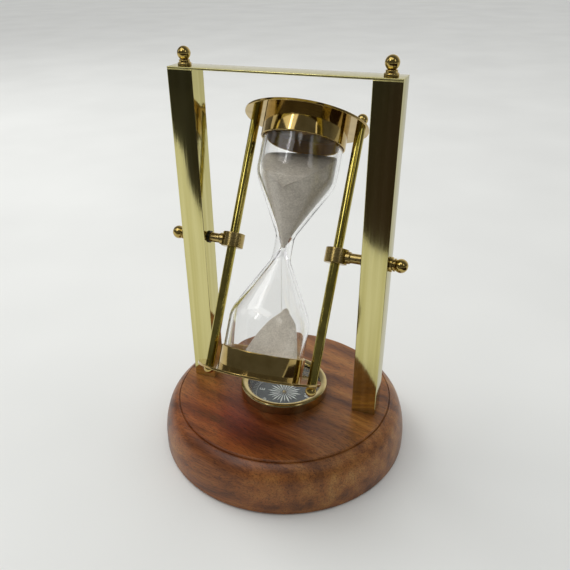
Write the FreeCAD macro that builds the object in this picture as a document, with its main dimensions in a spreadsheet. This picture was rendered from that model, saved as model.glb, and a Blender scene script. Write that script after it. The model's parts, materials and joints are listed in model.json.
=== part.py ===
import FreeCAD, Part
import os
import Sketcher

# A swinging sand timer: a turned wooden base with a compass let into it, two square brass posts
# joined by a thin top bar, and between them a carriage that holds the glass and turns end over end.
# Millimetres. +Z up, origin at the centre of the base's underside, X along the top bar.
# The carriage is modelled upright about the pivot line, then leans back by "tilt" about X.

SIZES = {
    # turned wooden base
    "base_radius": 68.6,
    "base_height": 28.0,
    "foot_round": 1.5,
    "side_height": 6.0,
    "shoulder_inset": 2.6,
    "shoulder_drop": 8.0,
    "rim_inset": 9.6,
    "step_height": 1.0,
    "step_slope": 0.4,
    # posts, top bar and their fastenings
    "post_span": 108.1,
    "post_width": 12.7,
    "post_depth": 11.1,
    "post_length": 170.0,
    "bar_thickness": 1.0,
    "stud_radius": 1.5,
    "stud_length": 9.0,
    "screw_radius": 2.4,
    "screw_head_radius": 4.4,
    "screw_head_height": 4.0,
    "screw_grip": 12.0,
    "screw_sink": 8.0,
    "thread_gap": 0.05,
    "end_gap": 0.5,
    "finial_flange_radius": 3.15,
    "finial_flange_height": 1.3,
    "finial_neck_radius": 2.5,
    "finial_neck_height": 1.2,
    "finial_ball_radius": 3.1,
    "finial_ball_sink": 0.5,
    # compass
    "bezel_rise": 6.2,
    "bezel_round": 1.5,
    "bezel_wall": 2.0,
    "bezel_lip_reach": 2.0,
    "bezel_lip_drop": 1.2,
    "bezel_lip_height": 0.9,
    "case_radius": 22.4,
    "case_wall": 3.0,
    "case_floor": 1.0,
    "case_sink": 8.0,
    "crystal_thickness": 1.6,
    "seat_gap": 0.1,
    "card_gap": 0.6,
    "card_thickness": 0.6,
    "card_drop": 6.5,
    "card_bore": 1.2,
    "needle_radius": 0.5,
    "needle_foot_radius": 2.0,
    "needle_foot_height": 1.2,
    "cap_radius": 2.2,
    "cap_height": 1.0,
    "cap_wall": 0.6,
    "card_clearance": 0.3,
    "magnet_radius": 8.0,
    "magnet_bore": 4.0,
    "magnet_height": 1.5,
    # carriage
    "pivot_rise": 87.4,
    "tilt": 31.8,
    "plate_margin": 1.17,
    "plate_thickness": 1.2,
    "plate_offset": 63.0,
    "rod_gap": 4.02,
    "rod_radius": 2.38,
    "cup_gap": 0.25,
    "cup_wall": 0.8,
    "cup_depth": 10.3,
    "cup_bead": 0.5,
    "knob_tail_radius": 2.6,
    "knob_tail_height": 1.0,
    "knob_ball_radius": 2.75,
    "knob_ball_sink": 0.9,
    # pivots
    "collar_radius": 5.7,
    "collar_height": 7.4,
    "collar_spot": 0.9,
    "pin_radius": 1.6,
    "pin_clearance": 0.06,
    "pin_bite": 2.4,
    "spacer_radius": 2.45,
    "spacer_flange_radius": 3.0,
    "spacer_flange_length": 2.4,
    "washer_radius": 3.1,
    "washer_thickness": 0.8,
    "end_play": 0.1,
    "knob_flange_radius": 3.6,
    "knob_flange_height": 1.5,
    "knob_waist_radius": 2.7,
    "knob_waist_height": 0.5,
    "knob_ring_radius": 3.2,
    "knob_ring_height": 0.8,
    "pivot_ball_radius": 3.4,
    "pivot_ball_sink": 1.0,
    # glass, pads and stopper
    "bulb_radius": 20.3,
    "glass_wall": 1.8,
    "heel_round": 3.0,
    "shoulder_round": 16.0,
    "cone_angle": 28.8,
    "neck_round": 8.0,
    "neck_radius": 4.7,
    "neck_half": 4.0,
    "orifice_radius": 1.1,
    "orifice_half": 1.0,
    "pad_thickness": 1.5,
    "pad_inset": 0.8,
    "mouth_radius": 5.0,
    # sand
    "sand_gap": 0.2,
    "level_rise": 46.0,
    "level_lean": 14.0,
    "crater_rise": 31.6,
    "crater_grade": 0.4,
    "heap_drop": 33.4,
    "heap_grade": 0.78,
    "heap_shift": 2.7,
    "heap_forward": 1.0,
    "sand_reach": 60.0,
    "stream_radius": 0.35,
    "stream_forward": 3.2,
    "stream_start": 4.5,
    "stream_end": 36.0,
}

doc = FreeCAD.newDocument("sand_timer")
sheet = doc.addObject("Spreadsheet::Sheet", "sizes")
for row, (alias, number) in enumerate(SIZES.items(), start=1):
    sheet.set("A%d" % row, alias)
    sheet.set("B%d" % row, str(number))
    sheet.setAlias("B%d" % row, alias)
doc.recompute()


class Size:
    """A number with the spreadsheet expression that gives it, so each formula is written once."""

    def __init__(self, number, text):
        self.number = number
        self.text = text

    def __add__(self, other):
        other = as_size(other)
        return Size(self.number + other.number, "(%s + %s)" % (self.text, other.text))

    def __sub__(self, other):
        other = as_size(other)
        return Size(self.number - other.number, "(%s - %s)" % (self.text, other.text))

    def __mul__(self, other):
        other = as_size(other)
        return Size(self.number * other.number, "(%s * %s)" % (self.text, other.text))

    def __truediv__(self, other):
        other = as_size(other)
        return Size(self.number / other.number, "(%s / %s)" % (self.text, other.text))

    def __neg__(self):
        return Size(-self.number, "(0 - %s)" % self.text)


def as_size(value):
    if isinstance(value, Size):
        return value
    return Size(float(value), "(%s)" % value)


def size(alias):
    return Size(float(sheet.get(alias)), "sizes.%s" % alias)


def cosine(angle):
    turned = FreeCAD.Rotation(FreeCAD.Vector(0, 0, 1), angle.number).multVec(FreeCAD.Vector(1, 0, 0))
    return Size(turned.x, "cos(%s * 1 deg)" % angle.text)


def sine(angle):
    turned = FreeCAD.Rotation(FreeCAD.Vector(0, 0, 1), angle.number).multVec(FreeCAD.Vector(1, 0, 0))
    return Size(turned.y, "sin(%s * 1 deg)" % angle.text)


def bind(thing, prop, value):
    """Set a property and tie it to the sheet."""
    thing.setExpression(prop, as_size(value).text)


def is_zero(value):
    return not isinstance(value, Size) and value == 0


UP = FreeCAD.Vector(0, 0, 1)
CARRIAGE_LEAN = FreeCAD.Vector(-1, 0, 0)
TO_RIGHT = FreeCAD.Rotation(FreeCAD.Vector(0, 1, 0), 90)
TO_LEFT = FreeCAD.Rotation(FreeCAD.Vector(0, -1, 0), 90)
SIDES = {"left": -1, "right": 1}
ENDS = {"upper": 1, "lower": -1}

nodes = []


def node(thing, name):
    """Name a finished piece and list it for export."""
    thing.Label = name
    nodes.append(thing)
    return thing


def put(thing, x=0, y=0, z=0, turn=None):
    """Place a piece that stands in the frame; every distance is tied to the sheet."""
    start = [as_size(value).number for value in (x, y, z)]
    thing.Placement = FreeCAD.Placement(FreeCAD.Vector(*start), turn or FreeCAD.Rotation())
    for letter, value in zip("xyz", (x, y, z)):
        if isinstance(value, Size):
            bind(thing, "Placement.Base.%s" % letter, value)
    return thing


def put_leaning(thing, lean, x=0, y=0, z=0):
    """Place a piece turned back about X by the angle lean."""
    put(thing, x, y, z, FreeCAD.Rotation(CARRIAGE_LEAN, lean.number))
    bind(thing, "Placement.Rotation.Angle", lean)
    return thing


def pin_down(sketch, edge, end, x, y):
    """Fix one end of an edge at (x, y) in its sketch."""
    if is_zero(x):
        sketch.addConstraint(Sketcher.Constraint("PointOnObject", edge, end, -2))
    else:
        row = sketch.addConstraint(Sketcher.Constraint("DistanceX", -1, 1, edge, end, x.number))
        bind(sketch, "Constraints[%d]" % row, x)
    if is_zero(y):
        sketch.addConstraint(Sketcher.Constraint("PointOnObject", edge, end, -1))
    else:
        row = sketch.addConstraint(Sketcher.Constraint("DistanceY", -1, 1, edge, end, y.number))
        bind(sketch, "Constraints[%d]" % row, y)


def new_sketch(body, plane):
    sketch = body.newObject("Sketcher::SketchObject", "outline")
    origin_plane = [f for f in body.Origin.OriginFeatures if f.Role == plane][0]
    sketch.AttachmentSupport = [(origin_plane, "")]
    sketch.MapMode = "FlatFace"
    return sketch


def round_edge(start, end, heading):
    """The arc that leaves start along heading and reaches end, and its heading there."""
    chord = end - start
    side = FreeCAD.Vector(-heading.y, heading.x, 0)
    radius = chord.dot(chord) / (2 * chord.dot(side))
    centre = start + side * radius
    half_way = start + chord * 0.5 - centre
    swing = half_way.normalize() * abs(radius)
    arc = Part.Arc(start, centre + swing, end)
    arrival = chord * (2 * chord.dot(heading) / chord.dot(chord)) - heading
    return arc, arrival


def turned(name, points):
    """A turned piece: an outline of (radius, height) points revolved about its own Z.

    A point with a third entry is reached by an arc that leaves the edge before it smoothly."""
    body = doc.addObject("PartDesign::Body", name)
    sketch = new_sketch(body, "XZ_Plane")
    places = [FreeCAD.Vector(as_size(p[0]).number, as_size(p[1]).number, 0) for p in points]
    heading = FreeCAD.Vector(1, 0, 0)
    count = len(points)
    for index in range(count):
        start = places[index]
        end = places[(index + 1) % count]
        if len(points[(index + 1) % count]) == 3:
            arc, heading = round_edge(start, end, heading)
            sketch.addGeometry(arc)
        else:
            sketch.addGeometry(Part.LineSegment(start, end))
            heading = (end - start).normalize()
    # An arc is stored counter-clockwise, so its ends may be the other way round.
    first = []
    last = []
    for index in range(count):
        begins = sketch.getPoint(index, 1).distanceToPoint(places[index]) < 1e-6
        first.append(1 if begins else 2)
        last.append(2 if begins else 1)
    for index in range(count):
        after = (index + 1) % count
        arc_follows = len(points[(after + 1) % count]) == 3
        kind = "Tangent" if arc_follows else "Coincident"
        sketch.addConstraint(Sketcher.Constraint(kind, index, last[index], after, first[after]))
    for index in range(count):
        pin_down(sketch, index, first[index], points[index][0], points[index][1])
    doc.recompute()
    revolution = body.newObject("PartDesign::Revolution", name + "_turning")
    revolution.Profile = sketch
    revolution.ReferenceAxis = (sketch, ["V_Axis"])
    revolution.Angle = 360
    sketch.Visibility = False
    return body


def disc(name, radius, low, high):
    """A plain turned disc between two heights on its own Z."""
    return turned(name, [(0, low), (radius, low), (radius, high), (0, high)])


def cylinder(name, radius, height):
    made = doc.addObject("Part::Cylinder", name)
    bind(made, "Radius", radius)
    bind(made, "Height", height)
    return made


def cone(name, low_radius, high_radius, height):
    made = doc.addObject("Part::Cone", name)
    bind(made, "Radius1", low_radius)
    bind(made, "Radius2", high_radius)
    bind(made, "Height", height)
    return made


def ball(name, radius, rise):
    made = doc.addObject("Part::Sphere", name)
    bind(made, "Radius", radius)
    return put(made, z=rise)


def centred_block(name, length, width, height):
    """A block centred on its own Z axis."""
    made = doc.addObject("Part::Box", name)
    bind(made, "Length", length)
    bind(made, "Width", width)
    bind(made, "Height", height)
    return put(made, x=-(length / 2), y=-(width / 2))


def join(name, pieces):
    made = doc.addObject("Part::MultiFuse", name)
    made.Shapes = pieces
    return made


def cut(name, base, tools):
    made = doc.addObject("Part::Cut", name)
    made.Base = base
    made.Tool = tools[0] if len(tools) == 1 else join(name + "_tools", tools)
    return made


base_top = size("base_height")
post_offset = (size("post_span") - size("post_width")) / 2
bar_underside = base_top + size("post_length")
bar_top = bar_underside + size("bar_thickness")
pivot_height = base_top + size("pivot_rise")
bezel_top = base_top + size("bezel_rise")
stud_hole_radius = size("stud_radius") + size("thread_gap")
screw_hole_radius = size("screw_radius") + size("thread_gap")
pivot_bore_radius = size("pin_radius") + size("pin_clearance")
case_inner_radius = size("case_radius") - size("case_wall")
bezel_radius = size("case_radius") + size("bezel_wall")
cup_radius = size("bulb_radius") + size("cup_gap") + size("cup_wall")
rod_offset = cup_radius + size("rod_gap") + size("rod_radius")
plate_radius = rod_offset + size("rod_radius") + size("plate_margin")
post_inner_face = post_offset - size("post_width") / 2
post_outer_face = post_offset + size("post_width") / 2


# ---- wooden base -------------------------------------------------------------------------------

def make_base():
    radius = size("base_radius")
    step_radius = radius - size("rim_inset")
    recess_radius = size("case_radius") + size("seat_gap")
    recess_floor = base_top - size("case_sink")
    wood = turned("base_turning", [
        (0, 0),
        (radius - size("foot_round"), 0),
        (radius, size("foot_round"), "smooth"),
        (radius, size("side_height")),
        (radius - size("shoulder_inset"), base_top - size("shoulder_drop"), "smooth"),
        (step_radius + size("step_slope"), base_top - size("step_height"), "smooth"),
        (step_radius, base_top),
        (recess_radius, base_top),
        (recess_radius, recess_floor),
        (0, recess_floor),
    ])
    holes = []
    for side, sign in SIDES.items():
        shank = cylinder("%s_screw_hole" % side, screw_hole_radius, base_top)
        holes.append(put(shank, x=post_offset * sign))
        sink = cylinder("%s_screw_sink" % side, size("screw_head_radius") + size("end_gap"),
                        size("screw_sink"))
        holes.append(put(sink, x=post_offset * sign))
    node(cut("base_drilled", wood, holes), "base")


# ---- posts, top bar and what fastens them ------------------------------------------------------

def make_post(side, sign):
    bar = centred_block("%s_post_bar" % side, size("post_width"), size("post_depth"),
                        size("post_length"))
    put(bar, x=post_offset * sign - size("post_width") / 2, y=-(size("post_depth") / 2), z=base_top)
    stud_depth = size("stud_length") - size("bar_thickness") + size("end_gap")
    stud_hole = cylinder("%s_stud_hole" % side, stud_hole_radius, stud_depth)
    put(stud_hole, x=post_offset * sign, z=bar_underside - stud_depth)
    screw_hole = cylinder("%s_tapped_hole" % side, screw_hole_radius,
                          size("screw_grip") + size("end_gap"))
    put(screw_hole, x=post_offset * sign, z=base_top)
    bore = cylinder("%s_pivot_bore" % side, pivot_bore_radius, size("post_span"))
    put(bore, z=pivot_height, turn=TO_RIGHT if sign > 0 else TO_LEFT)
    node(cut("%s_post_drilled" % side, bar, [stud_hole, screw_hole, bore]), "%s_post" % side)


def make_post_screws():
    head_top = size("screw_sink")
    tip = base_top + size("screw_grip")
    screws = []
    for side, sign in SIDES.items():
        screw = turned("%s_post_screw" % side, [
            (0, head_top - size("screw_head_height")),
            (size("screw_head_radius"), head_top - size("screw_head_height")),
            (size("screw_head_radius"), head_top),
            (size("screw_radius"), head_top),
            (size("screw_radius"), tip),
            (0, tip),
        ])
        screws.append(put(screw, x=post_offset * sign))
    group = doc.addObject("Part::Compound", "post_screw_pair")
    group.Links = screws
    node(group, "post_screws")


def make_top_bar():
    strip = centred_block("top_strip", size("post_span"), size("post_depth"), size("bar_thickness"))
    put(strip, x=-(size("post_span") / 2), y=-(size("post_depth") / 2), z=bar_underside)
    holes = []
    for side, sign in SIDES.items():
        hole = cylinder("%s_bar_hole" % side, stud_hole_radius, size("bar_thickness"))
        holes.append(put(hole, x=post_offset * sign, z=bar_underside))
    node(cut("top_bar_drilled", strip, holes), "top_bar")


def make_top_finial(side, sign):
    flange_top = size("finial_flange_height")
    neck_top = flange_top + size("finial_neck_height")
    stem = turned("%s_finial_stem" % side, [
        (0, -size("stud_length")),
        (size("stud_radius"), -size("stud_length")),
        (size("stud_radius"), 0),
        (size("finial_flange_radius"), 0),
        (size("finial_flange_radius"), flange_top),
        (size("finial_neck_radius"), flange_top),
        (size("finial_neck_radius"), neck_top),
        (0, neck_top),
    ])
    head = ball("%s_finial_ball" % side, size("finial_ball_radius"),
                neck_top + size("finial_ball_radius") - size("finial_ball_sink"))
    finial = join("%s_finial_whole" % side, [stem, head])
    node(put(finial, x=post_offset * sign, z=bar_top), "%s_top_finial" % side)


# ---- compass -----------------------------------------------------------------------------------

case_underside = base_top - size("case_sink")
case_top = case_underside + size("case_floor")
lip_underside = bezel_top - size("bezel_lip_drop") - size("bezel_lip_height")
crystal_underside = lip_underside - size("crystal_thickness")
card_top = crystal_underside - size("card_drop")
card_underside = card_top - size("card_thickness")
cap_roof = card_top + size("cap_height") - size("cap_wall")


def make_compass_housing():
    case = turned("case_turning", [
        (0, case_underside),
        (size("case_radius"), case_underside),
        (size("case_radius"), crystal_underside),
        (case_inner_radius, crystal_underside),
        (case_inner_radius, case_top),
        (0, case_top),
    ])
    node(case, "compass_case")
    skirt = size("case_radius") + size("thread_gap")
    lip = size("case_radius") - size("bezel_lip_reach")
    bezel = turned("bezel_turning", [
        (skirt, base_top),
        (bezel_radius, base_top),
        (bezel_radius, bezel_top - size("bezel_round")),
        (bezel_radius - size("bezel_round"), bezel_top, "smooth"),
        (lip, bezel_top - size("bezel_lip_drop"), "smooth"),
        (lip, lip_underside),
        (skirt, lip_underside),
    ])
    node(bezel, "compass_bezel")
    crystal = cylinder("crystal_disc", size("case_radius") - size("thread_gap"),
                       size("crystal_thickness"))
    node(put(crystal, z=crystal_underside), "compass_crystal")
    tip = cap_roof - size("card_clearance")
    needle = turned("needle_turning", [
        (0, case_top),
        (size("needle_foot_radius"), case_top),
        (size("needle_foot_radius"), case_top + size("needle_foot_height")),
        (size("needle_radius"), case_top + size("needle_foot_height")),
        (size("needle_radius"), tip - size("needle_radius")),
        (0, tip),
    ])
    node(needle, "compass_needle_post")


def make_compass_card():
    blank = cylinder("card_blank", case_inner_radius - size("card_gap"), size("card_thickness"))
    put(blank, z=card_underside)
    eye = cylinder("card_eye", size("card_bore"), size("card_thickness"))
    put(eye, z=card_underside)
    node(cut("card_pierced", blank, [eye]), "compass_card")
    hollow = size("needle_radius") + size("card_clearance")
    cap = turned("cap_turning", [
        (0, card_top + size("cap_height")),
        (size("cap_radius"), card_top),
        (hollow, card_top),
        (0, cap_roof),
    ])
    node(cap, "compass_card_cap")
    ring = turned("magnet_turning", [
        (size("magnet_bore"), card_underside - size("magnet_height")),
        (size("magnet_radius"), card_underside - size("magnet_height")),
        (size("magnet_radius"), card_underside),
        (size("magnet_bore"), card_underside),
    ])
    node(ring, "compass_magnet")


# ---- carriage: plates, rods, cups, end balls ---------------------------------------------------

tilt = size("tilt")
plate_face = size("plate_offset")
plate_back = plate_face + size("plate_thickness")


def lean(thing, x=0):
    """Hang a carriage piece on the pivot line, turned back with the carriage."""
    return put_leaning(thing, tilt, x=x, z=pivot_height)


def make_plate(end, sign):
    low = plate_face if sign > 0 else -plate_back
    blank = put(cylinder("%s_plate_blank" % end, plate_radius, size("plate_thickness")), z=low)
    holes = []
    for side, way in SIDES.items():
        hole = cylinder("%s_plate_%s_hole" % (end, side), stud_hole_radius, size("plate_thickness"))
        holes.append(put(hole, x=rod_offset * way, z=low))
    node(lean(cut("%s_plate_drilled" % end, blank, holes)), "%s_plate" % end)


def make_cup(end, sign):
    outer = cup_radius
    inner = outer - size("cup_wall")
    rim = plate_face - size("cup_depth")
    cup = turned("%s_cup_turning" % end, [
        (0, plate_face * sign),
        (outer, plate_face * sign),
        (outer, (rim + size("cup_bead")) * sign),
        (outer - size("cup_wall") / 2, rim * sign, "smooth"),
        (inner, (rim + size("cup_bead")) * sign, "smooth"),
        (inner, (plate_face - size("cup_wall")) * sign),
        (0, (plate_face - size("cup_wall")) * sign),
    ])
    node(lean(cup), "%s_cup" % end)


def make_rod(side, sign):
    stud_end = plate_back + size("knob_tail_height")
    rod = turned("%s_rod_turning" % side, [
        (0, -stud_end),
        (size("stud_radius"), -stud_end),
        (size("stud_radius"), -plate_face),
        (size("rod_radius"), -plate_face),
        (size("rod_radius"), plate_face),
        (size("stud_radius"), plate_face),
        (size("stud_radius"), stud_end),
        (0, stud_end),
    ])
    node(lean(rod, rod_offset * sign), "%s_rod" % side)


def make_rod_knob(end, way, side, sign):
    name = "%s_%s_rod_knob" % (end, side)
    tail_top = plate_back + size("knob_tail_height")
    tail = put(cylinder(name + "_tail", size("knob_tail_radius"), size("knob_tail_height")),
               z=plate_back if way > 0 else -tail_top)
    head = ball(name + "_ball", size("knob_ball_radius"),
                (tail_top + size("knob_ball_radius") - size("knob_ball_sink")) * way)
    socket_top = tail_top + size("thread_gap")
    socket = put(cylinder(name + "_socket", stud_hole_radius, socket_top),
                 z=0 if way > 0 else -socket_top)
    whole = cut(name + "_bored", join(name + "_solid", [tail, head]), [socket])
    node(lean(whole, rod_offset * sign), name)


# ---- pivots: collar on the rod, spacer, washer, pin through the post, ball knob outside ---------

collar_face = rod_offset + size("collar_radius")
spacer_seat = collar_face - size("collar_spot")
pin_start = rod_offset + size("rod_radius") + size("end_gap")
knob_seat = post_outer_face + size("end_play")
knob_flange_top = knob_seat + size("knob_flange_height")
pin_end = knob_flange_top + size("pin_bite")
washer_seat = post_inner_face - size("end_play") - size("washer_thickness")


def point_out(thing, sign):
    """Lay a piece along X through the pivots, its own Z pointing outwards."""
    return put(thing, z=pivot_height, turn=TO_RIGHT if sign > 0 else TO_LEFT)


def make_collar(side, sign):
    ring = put(cylinder("%s_collar_ring" % side, size("collar_radius"), size("collar_height")),
               x=rod_offset * sign, z=-(size("collar_height") / 2))
    rod_bore = put(cylinder("%s_collar_rod_bore" % side, size("rod_radius") + size("thread_gap"),
                            size("collar_height")),
                   x=rod_offset * sign, z=-(size("collar_height") / 2))
    outwards = TO_RIGHT if sign > 0 else TO_LEFT
    pin_hole = put(cylinder("%s_collar_pin_hole" % side, size("pin_radius") + size("thread_gap"),
                            size("collar_radius")),
                   x=(pin_start - size("thread_gap")) * sign, turn=outwards)
    spot = put(cylinder("%s_collar_spot" % side, size("spacer_flange_radius") + size("thread_gap"),
                        size("collar_spot") * 2),
               x=spacer_seat * sign, turn=outwards)
    collar = cut("%s_collar_bored" % side, ring, [rod_bore, pin_hole, spot])
    node(lean(collar), "%s_collar" % side)


def make_pivot(side, sign):
    pin = turned("%s_pin_turning" % side, [
        (0, pin_start),
        (size("pin_radius"), pin_start),
        (size("pin_radius"), pin_end),
        (0, pin_end),
    ])
    node(point_out(pin, sign), "%s_pivot_pin" % side)
    hole = size("pin_radius") + size("thread_gap")
    flange_end = spacer_seat + size("spacer_flange_length")
    spacer = turned("%s_spacer_turning" % side, [
        (hole, spacer_seat),
        (size("spacer_flange_radius"), spacer_seat),
        (size("spacer_flange_radius"), flange_end),
        (size("spacer_radius"), flange_end),
        (size("spacer_radius"), washer_seat),
        (hole, washer_seat),
    ])
    node(point_out(spacer, sign), "%s_spacer" % side)
    washer = turned("%s_washer_turning" % side, [
        (hole, washer_seat),
        (size("washer_radius"), washer_seat),
        (size("washer_radius"), washer_seat + size("washer_thickness")),
        (hole, washer_seat + size("washer_thickness")),
    ])
    node(point_out(washer, sign), "%s_washer" % side)


def make_pivot_knob(side, sign):
    waist_top = knob_flange_top + size("knob_waist_height")
    ring_top = waist_top + size("knob_ring_height")
    stem = turned("%s_knob_stem" % side, [
        (0, knob_seat),
        (size("knob_flange_radius"), knob_seat),
        (size("knob_flange_radius"), knob_flange_top),
        (size("knob_waist_radius"), knob_flange_top),
        (size("knob_waist_radius"), waist_top),
        (size("knob_ring_radius"), waist_top),
        (size("knob_ring_radius"), ring_top),
        (0, ring_top),
    ])
    head = ball("%s_knob_ball" % side, size("pivot_ball_radius"),
                ring_top + size("pivot_ball_radius") - size("pivot_ball_sink"))
    socket = put(cylinder("%s_knob_socket" % side, size("pin_radius") + size("thread_gap"),
                          pin_end - knob_seat + size("thread_gap")), z=knob_seat)
    whole = cut("%s_knob_bored" % side, join("%s_knob_solid" % side, [stem, head]), [socket])
    node(point_out(whole, sign), "%s_pivot_knob" % side)


# ---- glass: two cones and a neck, with a stoppered filling hole at the upper end ----------------

glass_end = plate_face - size("cup_wall") - size("pad_thickness")
cone_cos = cosine(size("cone_angle"))
cone_sin = sine(size("cone_angle"))
flare_radius = size("neck_radius") + size("neck_round") * (as_size(1) - cone_cos)
flare_rise = size("neck_half") + size("neck_round") * cone_sin
shoulder_radius = size("bulb_radius") - size("shoulder_round") * (as_size(1) - cone_cos)
shoulder_rise = flare_rise + (shoulder_radius - flare_radius) * cone_cos / cone_sin
straight_rise = shoulder_rise + size("shoulder_round") * cone_sin


def bulb_wall(inset, sign):
    """Flare, shoulder and start of the straight wall of one bulb, inset from the outside."""
    flare = (flare_radius - inset * cone_cos, (flare_rise + inset * cone_sin) * sign)
    shoulder = (shoulder_radius - inset * cone_cos, (shoulder_rise + inset * cone_sin) * sign)
    straight = (size("bulb_radius") - inset, straight_rise * sign)
    return flare, shoulder, straight


def make_glass():
    outer = size("bulb_radius")
    heel = size("heel_round")
    wall = size("glass_wall")
    floor = glass_end - wall
    inner_heel = heel - wall
    low_flare, low_shoulder, low_straight = bulb_wall(as_size(0), -1)
    top_flare, top_shoulder, top_straight = bulb_wall(as_size(0), 1)
    in_low_flare, in_low_shoulder, in_low_straight = bulb_wall(wall, -1)
    in_top_flare, in_top_shoulder, in_top_straight = bulb_wall(wall, 1)
    glass = turned("glass_blown", [
        (0, -glass_end),
        (outer - heel, -glass_end),
        (outer, heel - glass_end, "smooth"),
        low_straight,
        low_shoulder + ("smooth",),
        low_flare,
        (size("neck_radius"), -size("neck_half"), "smooth"),
        (size("neck_radius"), size("neck_half")),
        top_flare + ("smooth",),
        top_shoulder,
        top_straight + ("smooth",),
        (outer, glass_end - heel),
        (outer - heel, glass_end, "smooth"),
        (size("mouth_radius"), glass_end),
        (size("mouth_radius"), floor),
        (outer - heel, floor),
        (outer - wall, floor - inner_heel, "smooth"),
        in_top_straight,
        in_top_shoulder + ("smooth",),
        in_top_flare,
        (size("orifice_radius"), size("orifice_half")),
        (size("orifice_radius"), -size("orifice_half")),
        in_low_flare,
        in_low_shoulder,
        in_low_straight + ("smooth",),
        (outer - wall, inner_heel - floor),
        (outer - heel, -floor, "smooth"),
        (0, -floor),
    ])
    node(lean(glass), "glass_vessel")
    stopper = disc("stopper_plug", size("mouth_radius") - size("thread_gap"), floor, glass_end)
    node(lean(stopper), "glass_stopper")


def make_pad(end, sign):
    radius = cup_radius - size("cup_wall") - size("pad_inset")
    cup_floor = plate_face - size("cup_wall")
    pad = disc("%s_pad_disc" % end, radius, glass_end * sign, cup_floor * sign)
    node(lean(pad), "%s_pad" % end)


# ---- sand: a crater above the neck and a heap below it, both level with the world ---------------

def sand_space(use, sign):
    """What one bulb could hold, a little inside the glass."""
    inset = size("glass_wall") + size("sand_gap")
    flare, shoulder, straight = bulb_wall(inset, sign)
    tip = size("orifice_radius") - size("sand_gap")
    ceiling = glass_end - inset
    brim = ceiling - size("heel_round")
    points = [
        (0, size("orifice_half") * sign),
        (tip, size("orifice_half") * sign),
        flare,
        shoulder,
        straight + ("smooth",),
        (straight[0], brim * sign),
        (straight[0] - size("heel_round"), ceiling * sign, "smooth"),
        (0, ceiling * sign),
    ]
    return lean(turned("%s_sand_space" % use, points))


def make_sand():
    reach = size("sand_reach")
    over = cylinder("sand_level", reach, reach)
    put_leaning(over, size("level_lean"), z=pivot_height + size("level_rise"))
    crater = cone("sand_crater", 0, reach, reach * size("crater_grade"))
    put(crater, z=pivot_height + size("crater_rise"))
    node(cut("upper_sand_shaped", sand_space("upper", 1), [over, crater]), "upper_sand")

    heap_height = reach * size("heap_grade")
    heap = cone("sand_heap", reach, 0, heap_height)
    put(heap, x=size("heap_shift"), y=-size("heap_forward"),
        z=pivot_height - size("heap_drop") - heap_height)
    settled = doc.addObject("Part::Common", "lower_sand_shaped")
    settled.Base = sand_space("lower", -1)
    settled.Tool = heap
    node(settled, "lower_sand")

    stream = cylinder("falling_sand", size("stream_radius"),
                      size("stream_end") - size("stream_start"))
    put(stream, y=-size("stream_forward"), z=pivot_height - size("stream_end"))
    falling = doc.addObject("Part::Common", "falling_sand_inside")
    falling.Base = stream
    falling.Tool = sand_space("stream", -1)
    node(falling, "sand_stream")


make_base()
for side, sign in SIDES.items():
    make_post(side, sign)
make_post_screws()
make_top_bar()
for side, sign in SIDES.items():
    make_top_finial(side, sign)
make_compass_housing()
make_compass_card()
for end, way in ENDS.items():
    make_plate(end, way)
    make_cup(end, way)
for side, sign in SIDES.items():
    make_rod(side, sign)
    make_collar(side, sign)
    make_pivot(side, sign)
    make_pivot_knob(side, sign)
for end, way in ENDS.items():
    for side, sign in SIDES.items():
        make_rod_knob(end, way, side, sign)
make_glass()
for end, way in ENDS.items():
    make_pad(end, way)
make_sand()

doc.recompute()
for thing in doc.Objects:
    if "Invalid" in thing.State or "Error" in thing.State:
        raise RuntimeError("%s failed: %s" % (thing.Label, thing.State))
for thing in nodes:
    if thing.Shape.isNull() or not thing.Shape.isValid():
        raise RuntimeError("%s has no valid shape" % thing.Label)

os.makedirs("parts", exist_ok=True)
for thing in nodes:
    thing.Shape.exportStep("parts/%s.step" % thing.Label)
    box = thing.Shape.BoundBox
    print("%-24s solids %d  volume %10.2f  z %.2f to %.2f" % (
        thing.Label, len(thing.Shape.Solids), thing.Shape.Volume, box.ZMin, box.ZMax))
print("%d nodes" % len(nodes))
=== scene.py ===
import json
import math
import bmesh
import bpy
import numpy as np
from mathutils import Matrix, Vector
from mathutils.geometry import tessellate_polygon


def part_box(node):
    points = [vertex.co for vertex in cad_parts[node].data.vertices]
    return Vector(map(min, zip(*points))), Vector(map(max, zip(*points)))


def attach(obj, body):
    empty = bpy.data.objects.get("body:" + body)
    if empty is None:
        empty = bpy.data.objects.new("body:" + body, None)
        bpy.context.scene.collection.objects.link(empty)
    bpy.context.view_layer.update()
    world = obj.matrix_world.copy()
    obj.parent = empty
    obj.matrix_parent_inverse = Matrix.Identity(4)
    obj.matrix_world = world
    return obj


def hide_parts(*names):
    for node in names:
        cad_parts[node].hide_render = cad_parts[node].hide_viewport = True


# A brass sand timer that turns end over end between two square posts, on a turned sheesham base
# with a small compass let into it. Pieces are worked out in millimetres, then placed in metres.

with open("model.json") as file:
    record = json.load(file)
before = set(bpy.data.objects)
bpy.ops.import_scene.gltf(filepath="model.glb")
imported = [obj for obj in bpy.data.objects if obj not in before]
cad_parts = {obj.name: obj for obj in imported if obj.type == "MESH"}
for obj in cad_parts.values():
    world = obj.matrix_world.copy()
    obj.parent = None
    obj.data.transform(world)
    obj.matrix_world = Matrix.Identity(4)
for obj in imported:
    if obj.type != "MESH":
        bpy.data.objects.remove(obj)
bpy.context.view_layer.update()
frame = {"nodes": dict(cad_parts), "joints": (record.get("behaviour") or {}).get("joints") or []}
metres = 0.001
sides = {"left": -1, "right": 1}
ends = {"lower": -1, "upper": 1}
print("frame loaded:", len(frame["nodes"]), "nodes")


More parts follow.
